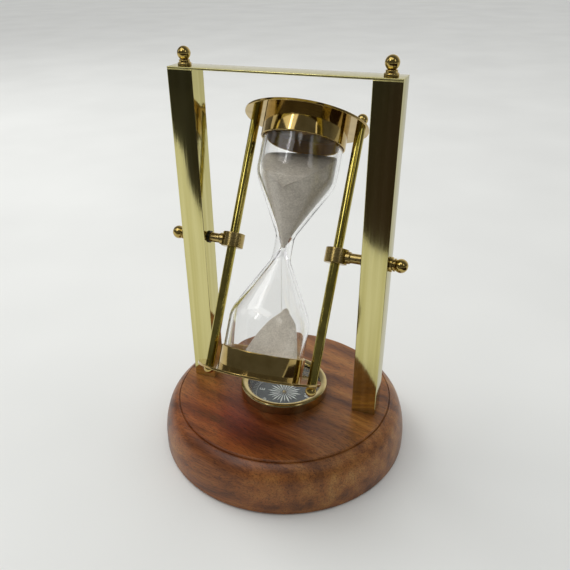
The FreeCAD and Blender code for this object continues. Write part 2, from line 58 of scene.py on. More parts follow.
def boxOf(node):
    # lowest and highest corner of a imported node, in millimetres
    low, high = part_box(node)
    return np.array(low) / metres, np.array(high) / metres


def middleOf(node):
    # half the sum of the two corners
    low, high = boxOf(node)
    return (low + high) / 2


def axesPlace(origin, alongZ, alongX=(1, 0, 0)):
    # a local frame: Z along one direction, X as near as can be to another
    z = np.array(alongZ, float) / np.linalg.norm(alongZ)
    y = np.cross(z, alongX)
    y = y / np.linalg.norm(y)
    return np.column_stack([np.cross(y, z), y, z]), np.array(origin, float)


def placed(points, place):
    # axes times local point plus origin, in metres
    axes, origin = place
    return (points @ axes.T + origin) * metres


def shifted(place, offset):
    # the same axes, with the origin moved along them
    axes, origin = place
    return axes, origin + axes @ np.array(offset, float)


spin = next(joint for joint in frame["joints"] if joint["name"] == "carriage_spin")
pivot = np.array(spin["pos_m"]) / metres
upright = axesPlace((0, 0, 0), (0, 0, 1))
glassAxis = middleOf("upper_plate") - middleOf("lower_plate")
carriage = axesPlace(pivot, glassAxis)
plate = {"thickness": 1.2, "edge": 0.3}
plateFace = np.linalg.norm(glassAxis) / 2 - plate["thickness"] / 2      # its inner face from the pivot
rodOffset = middleOf("right_rod")[0]
postOffset = middleOf("right_post")[0]


def rounded(outline):
    # Outline of (radius, height, rounding) corners: each corner with a rounding becomes the arc that
    # touches both its edges, and a point is kept close to each end of a straight run so that smooth
    # shading stays flat there.
    points = []
    count = len(outline)
    for number, corner in enumerate(outline):
        here = np.array(corner[:2], float)
        rounding = corner[2] if len(corner) > 2 else 0
        inside = 0 < number < count - 1
        if not rounding or not inside:
            points.append(here)
            continue
        back = np.array(outline[number - 1][:2], float) - here
        ahead = np.array(outline[number + 1][:2], float) - here
        back, ahead = back / np.linalg.norm(back), ahead / np.linalg.norm(ahead)
        opening = math.acos(np.clip(back @ ahead, -1, 1))
        turn = math.pi - opening
        reach = rounding / math.tan(opening / 2)
        steps = max(4, math.ceil(math.degrees(turn) / 11))
        middle = here + (back + ahead) / np.linalg.norm(back + ahead) * rounding / math.sin(opening / 2)
        start, finish = here + back * reach - middle, here + ahead * reach - middle
        share = np.linspace(0, 1, steps + 1)[:, None]
        arc = (np.sin((1 - share) * turn) * start + np.sin(share * turn) * finish) / math.sin(turn)
        support = min(0.12, rounding / 2)
        points.append(middle + start + back * support)
        points.extend(middle + arc)
        points.append(middle + finish + ahead * support)
    return np.array(points)


def ballProfile(radius, centre, fromDegrees, toDegrees, steps=22):
    # Arc of (radius cos a, centre + radius sin a) for a from one angle to the other.
    angle = np.radians(np.linspace(fromDegrees, toDegrees, steps))
    return np.column_stack([radius * np.cos(angle), centre + radius * np.sin(angle)])


def turnedGrid(profile, columns=96):
    # Surface (r cos a, r sin a, h): the profile's rows carried round the axis.
    angle = np.arange(columns) * 2 * np.pi / columns
    radius, height = np.asarray(profile, float)[:, :1], np.asarray(profile, float)[:, 1:2]
    return np.stack([radius * np.cos(angle), radius * np.sin(angle), height + 0 * angle], -1)


def barGrid(width, depth, length, edge, endRound, steps=6):
    # Surface of a rectangular bar: a rounded rectangle carried along Z, drawn in by a quarter circle at
    # both ends and closed to a point on the axis.
    a = np.linspace(0, np.pi / 2, steps + 1)
    lean = np.linspace(0, np.pi / 2, 4)
    drawIn = np.concatenate([endRound * (1 - np.sin(lean)), [0], [0], endRound * (1 - np.cos(lean))])
    height = np.concatenate([endRound * (1 - np.cos(lean)), [endRound * 1.5], [length - endRound * 1.5],
                             length - endRound * (1 - np.sin(lean))])
    rows = []
    for inset, z in zip(drawIn, height):
        corner = max(edge - inset, 0.02)
        halfW, halfD = width / 2 - inset - corner, depth / 2 - inset - corner
        ring = []
        for quarter, (sx, sy) in enumerate([(1, 1), (-1, 1), (-1, -1), (1, -1)]):
            turn = a + quarter * np.pi / 2
            x, y = sx * halfW + corner * np.cos(turn), sy * halfD + corner * np.sin(turn)
            ring.append(np.column_stack([x, y]))
        ring = np.concatenate(ring)
        rows.append(np.column_stack([ring, np.full(len(ring), z)]))
    grid = np.array(rows)
    pole = np.zeros_like(grid[:1])
    top = pole.copy()
    top[..., 2] = length
    return np.concatenate([pole, grid, top])


def quadsOf(rows, columns, start):
    # corners (i, j), (i, j+1), (i+1, j+1), (i+1, j) of a grid whose last column joins its first
    index = np.arange(rows * columns).reshape(rows, columns) + start
    index = np.column_stack([index, index[:, :1]])
    return np.stack([index[:-1, :-1], index[:-1, 1:], index[1:, 1:], index[1:, :-1]], -1).reshape(-1, 4)


def makePiece(name, grids, place, material, body, stoodFor=(), sharp=32, extraFaces=None):
    # One mesh from grids of points in the piece's own frame, placed in the object's. Those points, in
    # millimetres, stay on it as the attribute turnedAt, for the materials.
    points, faces, start = [], [], 0
    for grid in grids:
        faces.extend(quadsOf(grid.shape[0], grid.shape[1], start).tolist())
        points.append(grid.reshape(-1, 3))
        start += grid.shape[0] * grid.shape[1]
    if extraFaces:
        extraPoints, extra = extraFaces
        points.append(extraPoints)
        faces.extend([[corner + start for corner in face] for face in extra])
    local = np.concatenate(points)
    mesh = bpy.data.meshes.new(name)
    mesh.from_pydata(placed(local, place).tolist(), [], faces)
    turnedAt = mesh.attributes.new("turnedAt", "FLOAT_VECTOR", "POINT")
    turnedAt.data.foreach_set("vector", local.astype(np.float32).ravel())
    work = bmesh.new()
    work.from_mesh(mesh)
    bmesh.ops.remove_doubles(work, verts=work.verts, dist=1e-6)
    bmesh.ops.recalc_face_normals(work, faces=work.faces)
    work.to_mesh(mesh)
    work.free()
    mesh.polygons.foreach_set("use_smooth", np.ones(len(mesh.polygons), bool))
    mesh.set_sharp_from_angle(angle=math.radians(sharp))
    mesh.materials.append(material)
    piece = linkedObject(name, mesh)
    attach(piece, body)
    if stoodFor:
        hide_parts(*stoodFor)
    return piece


def linkedObject(name, data):
    # an object that holds the data, put in the scene
    made = bpy.data.objects.new(name, data)
    bpy.context.scene.collection.objects.link(made)
    return made


def hexColour(code):
    # sRGB hex to linear red, green, blue, alpha
    channel = np.array([int(code[i:i + 2], 16) for i in (1, 3, 5)]) / 255
    linear = np.where(channel <= 0.04045, channel / 12.92, ((channel + 0.055) / 1.055) ** 2.4)
    return (*linear.tolist(), 1.0)


def feed(node, inputs):
    # values and links of a node's inputs; a node given as a value stands for its first output
    for key, value in inputs.items():
        if isinstance(value, bpy.types.Node):
            value = value.outputs[0]
        if isinstance(value, bpy.types.NodeSocket):
            node.id_data.links.new(value, node.inputs[key])
        else:
            node.inputs[key].default_value = value


def addNode(tree, kind, inputs=None, stops=(), **settings):
    # one node with its settings, its values and links, and the stops of its ramp: hex colours or grey levels
    node = tree.nodes.new(kind)
    for key, value in settings.items():
        setattr(node, key, value)
    feed(node, inputs or {})
    for number, (position, tone) in enumerate(stops):
        elements = node.color_ramp.elements
        element = elements[number] if number < len(elements) else elements.new(position)
        element.position = position
        element.color = hexColour(tone) if isinstance(tone, str) else (tone, tone, tone, 1)
    return node


def newMaterial(name, **plain):
    # a Principled material whose uniform values sit on the shader's own sockets
    material = bpy.data.materials.new(name)
    material.use_nodes = True
    tree = material.node_tree
    tree.nodes.clear()
    values = {key.replace("_", " "): value for key, value in plain.items()}
    shader = addNode(tree, "ShaderNodeBsdfPrincipled", values)
    addNode(tree, "ShaderNodeOutputMaterial", {"Surface": shader})
    return material, tree, shader


perMetre = 1000.0     # a pattern of one cycle each millimetre, on Object coordinates


def cyclesOf(*millimetres):
    # cycles each metre of a pattern whose marks have these lengths along X, Y and Z: 1000 over each
    return tuple(perMetre / length for length in millimetres)


def sheeshamWood():
    # Oiled sheesham (Indian rosewood): gives brown heartwood with red and dark streaks along the
    # grain, short open pores as dark dashes, and the soft shine of a rubbed lacquer. The figure is
    # about 10 mm across and 110 mm long, fibres 0.8 by 24 mm, and pores 0.4 by 4 mm, twice as wide as
    # real ones so that they show.
    material, tree, shader = newMaterial("sheeshamWood", IOR=1.48, Coat_Weight=0.18, Coat_Roughness=0.28,
                                         Specular_IOR_Level=0.4)
    at = addNode(tree, "ShaderNodeTexCoord").outputs["Object"]
    grain = addNode(tree, "ShaderNodeMapping", {"Vector": at, "Rotation": (0.05, 0.10, 0.30)})
    slow = addNode(tree, "ShaderNodeMapping", {"Vector": grain, "Scale": cyclesOf(111.1, 38.46, 38.46)})
    wander = addNode(tree, "ShaderNodeTexNoise", {
        "Vector": slow, "Scale": 1.0, "Detail": 3.0, "Roughness": 0.5})
    bent = addNode(tree, "ShaderNodeVectorMath", {
        0: wander.outputs["Color"], 1: (0.5, 0.5, 0.5)}, operation="SUBTRACT")
    bend = addNode(tree, "ShaderNodeVectorMath", {0: bent, "Scale": 0.016}, operation="SCALE")
    flow = addNode(tree, "ShaderNodeVectorMath", {0: grain, 1: bend})
    figure = addNode(tree, "ShaderNodeMapping", {"Vector": flow, "Scale": cyclesOf(111.1, 9.524, 9.524)})
    bands = addNode(tree, "ShaderNodeTexNoise", {
        "Vector": figure, "Scale": 1.0, "Detail": 4.0, "Roughness": 0.58})
    tone = addNode(tree, "ShaderNodeValToRGB", {0: bands}, [
        (0.27, "#4d280a"), (0.40, "#734317"), (0.50, "#8b5522"), (0.60, "#9c662e"), (0.76, "#ae7e41")])
    # the reddish heart at the middle of the front, which fades out over 56 by 40 by 71 mm
    spot = addNode(tree, "ShaderNodeMapping", {
        "Vector": flow, "Location": (0.0, 0.95, -0.3), "Scale": cyclesOf(55.56, 40.0, 71.43)})
    heartDistance = addNode(tree, "ShaderNodeVectorMath", {0: spot}, operation="LENGTH").outputs["Value"]
    heart = addNode(tree, "ShaderNodeValToRGB", {0: heartDistance}, [(0.15, 0.85), (1.0, 0.0)])
    reddened = addNode(tree, "ShaderNodeMix", {
        "Factor": heart, 6: tone, 7: hexColour("#e97c5c")}, data_type="RGBA", blend_type="MULTIPLY")
    fibres = addNode(tree, "ShaderNodeMapping", {"Vector": flow, "Scale": cyclesOf(23.81, 0.7692, 0.7692)})
    streakNoise = addNode(tree, "ShaderNodeTexNoise", {
        "Vector": fibres, "Scale": 1.0, "Detail": 4.0, "Roughness": 0.65})
    streaks = addNode(tree, "ShaderNodeValToRGB", {0: streakNoise}, [(0.36, 0.46), (0.5, 1.0), (0.66, 1.2)])
    fibred = addNode(tree, "ShaderNodeMix", {
        "Factor": 0.8, 6: reddened.outputs[2], 7: streaks}, data_type="RGBA", blend_type="MULTIPLY")
    dashes = addNode(tree, "ShaderNodeMapping", {"Vector": flow, "Scale": cyclesOf(4.0, 0.4167, 0.4167)})
    poreNoise = addNode(tree, "ShaderNodeTexNoise", {
        "Vector": dashes, "Scale": 1.0, "Detail": 1.0, "Roughness": 0.5})
    pores = addNode(tree, "ShaderNodeValToRGB", {0: poreNoise}, [(0.31, 0.22), (0.37, 1.0)])
    finished = addNode(tree, "ShaderNodeMix", {
        "Factor": 0.8, 6: fibred.outputs[2], 7: pores}, data_type="RGBA", blend_type="MULTIPLY")
    gloss = addNode(tree, "ShaderNodeValToRGB", {0: streakNoise}, [(0.3, 0.34), (0.7, 0.48)])
    relief = addNode(tree, "ShaderNodeMath", {0: poreNoise, 1: streakNoise})
    bump = addNode(tree, "ShaderNodeBump", {"Height": relief, "Strength": 0.25, "Distance": 0.0002})
    feed(shader, {"Base Color": finished.outputs[2], "Roughness": gloss, "Normal": bump})
    return material


def brushedPostBrass():
    # Bare brass bar, linished along its length and lacquered: pale greenish gold whose mirror
    # image is drawn out into fine streaks along the bar, 0.5 mm wide (real ones are finer) and 70 mm long.
    material, tree, shader = newMaterial("brushedPostBrass", Metallic=1.0, Coat_Weight=0.12,
                                         Coat_Roughness=0.08, Specular_Tint=hexColour("#e4e4e4"))
    at = addNode(tree, "ShaderNodeTexCoord").outputs["Object"]
    scratches = addNode(tree, "ShaderNodeMapping", {"Vector": at, "Scale": cyclesOf(0.5263, 0.5263, 71.43)})
    lines = addNode(tree, "ShaderNodeTexNoise", {
        "Vector": scratches, "Scale": 1.0, "Detail": 3.0, "Roughness": 0.6})
    stretches = addNode(tree, "ShaderNodeMapping", {"Vector": at, "Scale": cyclesOf(2.381, 2.381, 111.1)})
    broad = addNode(tree, "ShaderNodeTexNoise", {
        "Vector": stretches, "Scale": 1.0, "Detail": 2.0, "Roughness": 0.5})
    tone = addNode(tree, "ShaderNodeValToRGB", {0: broad}, [(0.35, "#cbc17e"), (0.65, "#d9d092")])
    gloss = addNode(tree, "ShaderNodeValToRGB", {0: lines}, [(0.3, 0.05), (0.7, 0.12)])
    # dragged marks 1 mm wide and 20 mm long, so that a mirrored edge breaks up into streaks
    drags = addNode(tree, "ShaderNodeMapping", {"Vector": at, "Scale": cyclesOf(1.0, 1.0, 20.0)})
    drag = addNode(tree, "ShaderNodeTexNoise", {
        "Vector": drags, "Scale": 1.0, "Detail": 1.0, "Roughness": 0.5})
    relief = addNode(tree, "ShaderNodeMath", {0: drag, 1: 1.6, 2: lines},
                     operation="MULTIPLY_ADD")
    bump = addNode(tree, "ShaderNodeBump", {"Height": relief, "Strength": 0.3, "Distance": 0.00003})
    feed(shader, {"Base Color": tone, "Roughness": gloss, "Normal": bump})
    return material


def turnedBrass(name, low, high, roughness, ringStep, depth, metallic=1.0):
    # Brass turned on a lathe and polished: a fine line every ringStep millimetres round the axis
    # (real tool marks are finer, and are drawn this coarse so that they show), over a slow change of tone.
    material, tree, shader = newMaterial(name, Metallic=metallic)
    at = addNode(tree, "ShaderNodeAttribute", attribute_name="turnedAt").outputs["Vector"]
    apart = addNode(tree, "ShaderNodeSeparateXYZ", {0: at})
    flat = addNode(tree, "ShaderNodeCombineXYZ", {0: apart.outputs[0], 1: apart.outputs[1]})
    radius = addNode(tree, "ShaderNodeVectorMath", {0: flat}, operation="LENGTH").outputs["Value"]
    along = addNode(tree, "ShaderNodeMath", {0: radius, 1: apart.outputs[2]})
    rings = addNode(tree, "ShaderNodeTexNoise", {
        "W": along, "Scale": 1 / ringStep, "Detail": 2.0, "Roughness": 0.6}, noise_dimensions="1D")
    cloud = addNode(tree, "ShaderNodeTexNoise",
                    {"Vector": at, "Scale": 0.16, "Detail": 2.0, "Roughness": 0.5})
    tone = addNode(tree, "ShaderNodeValToRGB", {0: cloud}, [(0.35, low), (0.65, high)])
    gloss = addNode(tree, "ShaderNodeValToRGB", {0: rings}, [(0.3, roughness * 0.7), (0.7, roughness * 1.3)])
    bump = addNode(tree, "ShaderNodeBump", {"Height": rings, "Strength": 0.3, "Distance": depth * metres})
    feed(shader, {"Base Color": tone, "Roughness": gloss, "Normal": bump})
    return material


def mottledMetal(name, low, high, roughness, grainSize):
    # Plain metal that is mostly hidden: satin, with a faint mottle of the given size in millimetres.
    material, tree, shader = newMaterial(name, Metallic=1.0)
    at = addNode(tree, "ShaderNodeTexCoord").outputs["Object"]
    mottle = addNode(tree, "ShaderNodeTexNoise",
                     {"Vector": at, "Scale": perMetre / grainSize, "Detail": 3.0})
    tone = addNode(tree, "ShaderNodeValToRGB", {0: mottle}, [(0.35, low), (0.65, high)])
    gloss = addNode(tree, "ShaderNodeValToRGB", {0: mottle},
                    [(0.3, roughness * 0.8), (0.7, roughness * 1.2)])
    feed(shader, {"Base Color": tone, "Roughness": gloss})
    return material


def clearGlass(name, tint, index):
    # Clear soda glass: bright edges and window lights on the wall, and lamps reach what is inside it.
    material, tree, shader = newMaterial(name, Base_Color=hexColour(tint), Roughness=0.0, IOR=index,
                                         Transmission_Weight=1.0)
    output = next(node for node in tree.nodes if node.type == "OUTPUT_MATERIAL")
    through = addNode(tree, "ShaderNodeBsdfTransparent", {"Color": (0.97, 0.975, 0.97, 1)})
    lamps = addNode(tree, "ShaderNodeLightPath").outputs["Is Shadow Ray"]
    mixed = addNode(tree, "ShaderNodeMixShader", {0: lamps, 1: shader, 2: through})
    feed(output, {"Surface": mixed})
    at = addNode(tree, "ShaderNodeTexCoord").outputs["Object"]
    # slow waves of 12 mm left by blowing or pressing
    wave = addNode(tree, "ShaderNodeTexNoise", {"Vector": at, "Scale": perMetre / 12, "Detail": 1.0})
    bump = addNode(tree, "ShaderNodeBump", {"Height": wave, "Strength": 0.15, "Distance": 0.0004})
    feed(shader, {"Normal": bump})
    return material


def fineSand():
    # Washed quartz sand, grains about 0.3 mm drawn at 0.5 mm: matt warm grey with light and dark grains.
    material, tree, shader = newMaterial("fineSand", Roughness=0.95, IOR=1.46)
    at = addNode(tree, "ShaderNodeTexCoord").outputs["Object"]
    grains = addNode(tree, "ShaderNodeTexVoronoi", {"Vector": at, "Scale": perMetre / 0.5})
    shade = addNode(tree, "ShaderNodeSeparateColor", {0: grains.outputs["Color"]})
    drift = addNode(tree, "ShaderNodeTexNoise",
                    {"Vector": at, "Scale": perMetre / 6, "Detail": 4.0, "Roughness": 0.6})
    both = addNode(tree, "ShaderNodeMath", {0: shade, 1: 0.5, 2: drift}, operation="MULTIPLY_ADD")
    tone = addNode(tree, "ShaderNodeValToRGB", {0: both},
                   [(0.40, "#bbb2a4"), (0.70, "#cac2b3"), (1.0, "#dad2c4")])
    relief = addNode(tree, "ShaderNodeMath", {0: grains.outputs["Distance"], 1: 0.5, 2: drift},
                     operation="MULTIPLY_ADD")
    bump = addNode(tree, "ShaderNodeBump", {"Height": relief, "Strength": 0.7, "Distance": 0.0003})
    feed(shader, {"Base Color": tone, "Normal": bump})
    return material


def fibrous(name, dark, light, grainSize, roughness):
    # Matt material of short fibres or cells of the given size in millimetres, such as felt or cork.
    material, tree, shader = newMaterial(name, Roughness=roughness)
    at = addNode(tree, "ShaderNodeTexCoord").outputs["Object"]
    cells = addNode(tree, "ShaderNodeTexNoise",
                    {"Vector": at, "Scale": perMetre / grainSize, "Detail": 5.0, "Roughness": 0.7})
    tone = addNode(tree, "ShaderNodeValToRGB", {0: cells}, [(0.35, dark), (0.65, light)])
    bump = addNode(tree, "ShaderNodeBump", {"Height": cells, "Strength": 0.6, "Distance": 0.0003})
    feed(shader, {"Base Color": tone, "Normal": bump})
    return material


def slateCard():
    # Printed paper card: flat dark slate ink, with a paper tooth of 0.1 mm drawn at 0.4 mm.
    material, tree, shader = newMaterial("slateCard", Roughness=0.55)
    at = addNode(tree, "ShaderNodeTexCoord").outputs["Object"]
    tooth = addNode(tree, "ShaderNodeTexNoise", {"Vector": at, "Scale": perMetre / 0.4, "Detail": 3.0})
    tone = addNode(tree, "ShaderNodeValToRGB", {0: tooth}, [(0.3, "#262e30"), (0.7, "#3c4648")])
    bump = addNode(tree, "ShaderNodeBump", {"Height": tooth, "Strength": 0.2, "Distance": 0.00005})
    feed(shader, {"Base Color": tone, "Normal": bump})
    return material


def printedInk():
    # White screen ink on the card: flat, and greyer in patches of 0.5 mm where it is thin.
    material, tree, shader = newMaterial("printedInk", Roughness=0.6)
    at = addNode(tree, "ShaderNodeTexCoord").outputs["Object"]
    cover = addNode(tree, "ShaderNodeTexNoise", {"Vector": at, "Scale": perMetre / 0.5, "Detail": 2.0})
    tone = addNode(tree, "ShaderNodeValToRGB", {0: cover}, [(0.3, "#c3c9c6"), (0.6, "#f0f3ef")])
    feed(shader, {"Base Color": tone})
    return material


wood = sheeshamWood()
postBrass = brushedPostBrass()
turnedPartBrass = turnedBrass("satinTurnedBrass", "#a48d55", "#b9a369", 0.22, 0.35, 0.004)
knobBrass = turnedBrass("polishedKnobBrass", "#b39a58", "#c8b06c", 0.10, 0.4, 0.002)
spunBrass = turnedBrass("spunSheetBrass", "#b0965a", "#c2a86b", 0.08, 0.45, 0.0015)
cupInsideBrass = turnedBrass("unpolishedCupBrass", "#b58535", "#c59545", 0.5, 0.45, 0.01, 0.4)
rodBrass = turnedBrass("drawnRodBrass", "#a89a4b", "#beaf5e", 0.10, 0.5, 0.002)
bezelBrass = turnedBrass("turnedBezelBrass", "#bba873", "#ccba88", 0.12, 0.4, 0.002)
washerSteel = turnedBrass("blackenedWasherSteel", "#3b3833", "#56524a", 0.35, 0.3, 0.005)
screwSteel = mottledMetal("zincPlatedScrewSteel", "#9a9c9d", "#b4b5b4", 0.3, 1.5)
needleSteel = mottledMetal("hardenedNeedleSteel", "#a0a2a4", "#c0c1c2", 0.2, 1.0)
magnetIron = mottledMetal("nickelPlatedMagnetIron", "#77746f", "#8f8c86", 0.35, 1.0)
blownGlass = clearGlass("blownSodaGlass", "#ffffff", 1.47)
crystalGlass = clearGlass("compassCrystalGlass", "#fafcfa", 1.5)
cork = fibrous("agglomeratedCork", "#8a6a45", "#b18f64", 1.2, 0.9)
felt = fibrous("pressedWoolFelt", "#9c8358", "#b89f72", 0.8, 1.0)
sand = fineSand()
card = slateCard()
ink = printedInk()
packedFinish = {
    "sheesham_wood": wood, "post_brass": postBrass, "turned_brass": turnedPartBrass, "spun_brass": spunBrass,
    "rod_brass": rodBrass, "bezel_brass": bezelBrass, "screw_steel": screwSteel, "needle_steel": needleSteel,
    "washer_steel": washerSteel, "magnet_iron": magnetIron, "printed_card": card,
    "crystal_glass": crystalGlass, "blown_glass": blownGlass, "cork": cork, "felt": felt, "sand": sand,
}
for node in frame["nodes"].values():
    for slot in node.material_slots:
        slot.material = packedFinish[slot.material.name.split(".")[0]]
print("materials made:", len(packedFinish) + 1)


base = {"footRound": 1.5, "sideHeight": 6.0, "shoulderInset": 2.6, "shoulderDrop": 8.0, "rimInset": 9.6,
        "stepHeight": 1.0, "stepSlope": 0.4, "pocketRadius": 22.5, "pocketDepth": 8.0,
        "sinkRadius": 4.9, "sinkDepth": 8.0, "grooveWidth": 1.1, "grooveDepth": 0.8, "grooveEdge": 0.12,
        "stepRound": 0.45, "rimRound": 0.2, "underRim": 8.0}


def headingArc(start, finish, heading, steps=12):
    # Arc that leaves start in the heading direction and reaches finish, and its heading there.
    chord = finish - start
    along, across = chord @ heading, chord[0] * -heading[1] + chord[1] * heading[0]
    turn = 2 * math.atan2(across, along)
    radius = np.linalg.norm(chord) / (2 * math.sin(turn / 2))
    angle = np.linspace(0, turn, steps)
    left = np.array([-heading[1], heading[0]])
    points = start + radius * (np.sin(angle)[:, None] * heading + (1 - np.cos(angle))[:, None] * left)
    last = heading * math.cos(turn) + left * math.sin(turn)
    return points, last


low, high = boxOf("base")
baseRadius, baseTop = high[0], high[2]
stepRadius = baseRadius - base["rimInset"]
foot = np.array([baseRadius, base["sideHeight"]])
shoulder = np.array([baseRadius - base["shoulderInset"], baseTop - base["shoulderDrop"]])
ledge = np.array([stepRadius + base["stepSlope"], baseTop - base["stepHeight"]])
pocketRadius, pocketFloor = base["pocketRadius"], baseTop - base["pocketDepth"]
grooveOut, grooveFloor = ledge[0] + base["grooveWidth"], ledge[1] - base["grooveDepth"]
side, heading = headingArc(foot, shoulder, np.array([0.0, 1.0]))
shoulderArc, heading = headingArc(shoulder, ledge, heading)
outline = np.concatenate([
    rounded([(baseRadius - base["underRim"], 0), (baseRadius, 0, base["footRound"]),
             (baseRadius, base["sideHeight"])])[1:],
    side[1:], shoulderArc[1:-1],
    rounded([tuple((shoulderArc[-2] + ledge) / 2), (grooveOut, ledge[1] - 0.05, base["rimRound"]),
             (ledge[0] + base["grooveWidth"] * 0.6, grooveFloor, base["grooveEdge"]),
             (ledge[0] + 0.1, grooveFloor, base["grooveEdge"]),
             (stepRadius, baseTop, base["stepRound"]), (pocketRadius, baseTop, base["rimRound"]),
             (pocketRadius, pocketFloor), (0, pocketFloor)])[1:]])
columns = 192
rim = turnedGrid(outline[:1], columns)[0]
grids = [turnedGrid(outline, columns)]
holes = []
sinkRadius, sinkDepth = base["sinkRadius"], base["sinkDepth"]
for sign in sides.values():
    wall = turnedGrid(np.array([(sinkRadius, 0), (sinkRadius, sinkDepth), (0, sinkDepth)]), 40)
    wall = wall + np.array([postOffset * sign, 0, 0])
    grids.append(wall)
    holes.append(wall[0])
flatRings = [rim, *holes]
underside = tessellate_polygon([[tuple(point) for point in ring] for ring in flatRings])
makePiece("turnedBase", grids, upright, wood, "stand", ["base"], sharp=28,
          extraFaces=(np.concatenate(flatRings), [list(face) for face in underside]))
print("base made")


posts = {"edge": 0.25, "endRound": 0.2}
topBar = {"edge": 0.3, "endRound": 0.25}
finial = {"flangeRadius": 3.15, "flangeHeight": 1.3, "neckRadius": 2.5, "neckHeight": 1.2,
          "ballRadius": 3.1, "sink": 0.5}

for name in sides:
    low, high = boxOf(name + "_post")
    size = high - low
    place = axesPlace(((low[0] + high[0]) / 2, (low[1] + high[1]) / 2, low[2]), (0, 0, 1))
    makePiece(name + "SquarePost", [barGrid(size[0], size[1], size[2], posts["edge"], posts["endRound"])],
              place, postBrass, "stand", [name + "_post"], sharp=50)
low, high = boxOf("top_bar")
size = high - low
# carried along X, so its local Z lies along the bar
place = axesPlace((low[0], (low[1] + high[1]) / 2, (low[2] + high[2]) / 2), (1, 0, 0), (0, 1, 0))
makePiece("topStrip", [barGrid(size[1], size[2], size[0], topBar["edge"], topBar["endRound"])],
          place, postBrass, "stand", ["top_bar"], sharp=50)


def ballHead(stem, ballRadius, sink, stemTop):
    # Stem outline carried on by the part of a ball that stands above it, up to its pole.
    centre = stemTop + ballRadius - sink
    joinRadius = math.sqrt(ballRadius ** 2 - (ballRadius - sink) ** 2)
    fromDegrees = -math.degrees(math.acos(joinRadius / ballRadius))
    ball = ballProfile(ballRadius, centre, fromDegrees, 90)
    return np.concatenate([rounded(stem + [(joinRadius, stemTop)]), ball[1:]])


flange, flangeTop = finial["flangeRadius"], finial["flangeHeight"]
neck, neckTop = finial["neckRadius"], flangeTop + finial["neckHeight"]
finialProfile = ballHead([(0, 0), (flange, 0, 0.15), (flange, flangeTop, 0.5), (neck, flangeTop, 0.15),
                          (neck, neckTop, 0.3)], finial["ballRadius"], finial["sink"], neckTop)
for name, sign in sides.items():
    place = axesPlace((postOffset * sign, 0, boxOf("top_bar")[1][2]), (0, 0, 1))
    makePiece(name + "BallFinial", [turnedGrid(finialProfile, 64)], place, knobBrass, "stand",
              [name + "_top_finial"], sharp=40)
print("posts, top bar and finials made")


compass = {"bezelRound": 1.5, "lipDrop": 1.2, "lipHeight": 0.9, "lipReach": 2.0, "wall": 3.0, "floor": 1.0}
low, high = boxOf("compass_case")
caseRadius, caseLow, caseHigh = high[0], low[2], high[2]
innerRadius = caseRadius - compass["wall"]
caseFloor = caseLow + compass["floor"]
caseOutline = rounded([(0, caseLow), (caseRadius, caseLow, 0.3), (caseRadius, caseHigh, 0.1),
                       (innerRadius, caseHigh, 0.1), (innerRadius, caseFloor, 0.4), (0, caseFloor)])
makePiece("compassCup", [turnedGrid(caseOutline, 128)], upright, spunBrass, "stand",
          ["compass_case"])
low, high = boxOf("compass_bezel")
bezelRadius, bezelLow, bezelTop = high[0], low[2], high[2]
lipRadius = caseRadius - compass["lipReach"]
lipLow = bezelTop - compass["lipDrop"] - compass["lipHeight"]
crown = np.array([bezelRadius, bezelTop - compass["bezelRound"]])
crownEnd = np.array([bezelRadius - compass["bezelRound"], bezelTop])
lipEdge = np.array([lipRadius, bezelTop - compass["lipDrop"]])
firstArc, heading = headingArc(crown, crownEnd, np.array([0.0, 1.0]), 10)
secondArc, heading = headingArc(crownEnd, lipEdge, heading, 10)
skirt = caseRadius + 0.05
bezelProfile = np.concatenate([
    [(skirt, bezelLow), (bezelRadius - 0.15, bezelLow), (bezelRadius, bezelLow + 0.15)],
    firstArc, secondArc[1:], [(lipRadius, lipLow), (skirt, lipLow), (skirt, bezelLow)]])
makePiece("compassBezelRing", [turnedGrid(bezelProfile, 160)], upright, bezelBrass, "stand",
          ["compass_bezel"], sharp=35)
low, high = boxOf("compass_crystal")
windowOutline = rounded([(0, low[2]), (high[0], low[2], 0.15), (high[0], high[2], 0.15), (0, high[2])])
makePiece("compassWindow", [turnedGrid(windowOutline, 128)], upright, crystalGlass, "stand",
          ["compass_crystal"])

dial = {"turn": 188.0, "roseRadius": 9.8, "rays": 24, "letterRadius": 12.9, "letterSize": 4.2,
        "letterWeight": 0.05, "pairSize": 0.72, "holeRadius": 1.2, "ringRadius": 15.9, "ringWidth": 0.22,
        "tickFrom": 16.4, "tickTo": 18.5, "tickHalf": (0.10, 0.12), "ticks": 72, "inkHeight": 0.04,
        # each ray: where it starts, half width there, where it is widest and ends as shares of the rose,
        # and half width at its widest
        "longRay": (1.4, 0.06, 0.75, 1.0, 0.42), "shortRay": (2.6, 0.06, 0.66, 0.86, 0.30)}
low, high = boxOf("compass_card")
cardRadius, cardTop = high[0], high[2]
cardOutline = rounded([(dial["holeRadius"], low[2]), (cardRadius, low[2], 0.1), (cardRadius, cardTop, 0.1),
                       (dial["holeRadius"], cardTop), (dial["holeRadius"], low[2])])
makePiece("dialCard", [turnedGrid(cardOutline, 128)], upright, card, "compass_card",
          ["compass_card"])


def prisms(corners, bottom, height):
    # Flat outlines (count, corners, 2) raised by the height into closed prisms.
    count, number = corners.shape[:2]
    flat = np.concatenate([corners, np.full((count, number, 1), bottom)], -1)
    raised = flat + np.array([0, 0, height])
    points = np.concatenate([flat, raised], 1).reshape(-1, 3)
    ring = np.arange(number)
    after = (ring + 1) % number
    faces = [ring[::-1].tolist(), (ring + number).tolist()]
    faces += np.stack([ring, after, after + number, ring + number], 1).tolist()
    every = []
    for face in faces:
        every += (np.array(face)[None] + (np.arange(count) * number * 2)[:, None]).tolist()
    return points, every


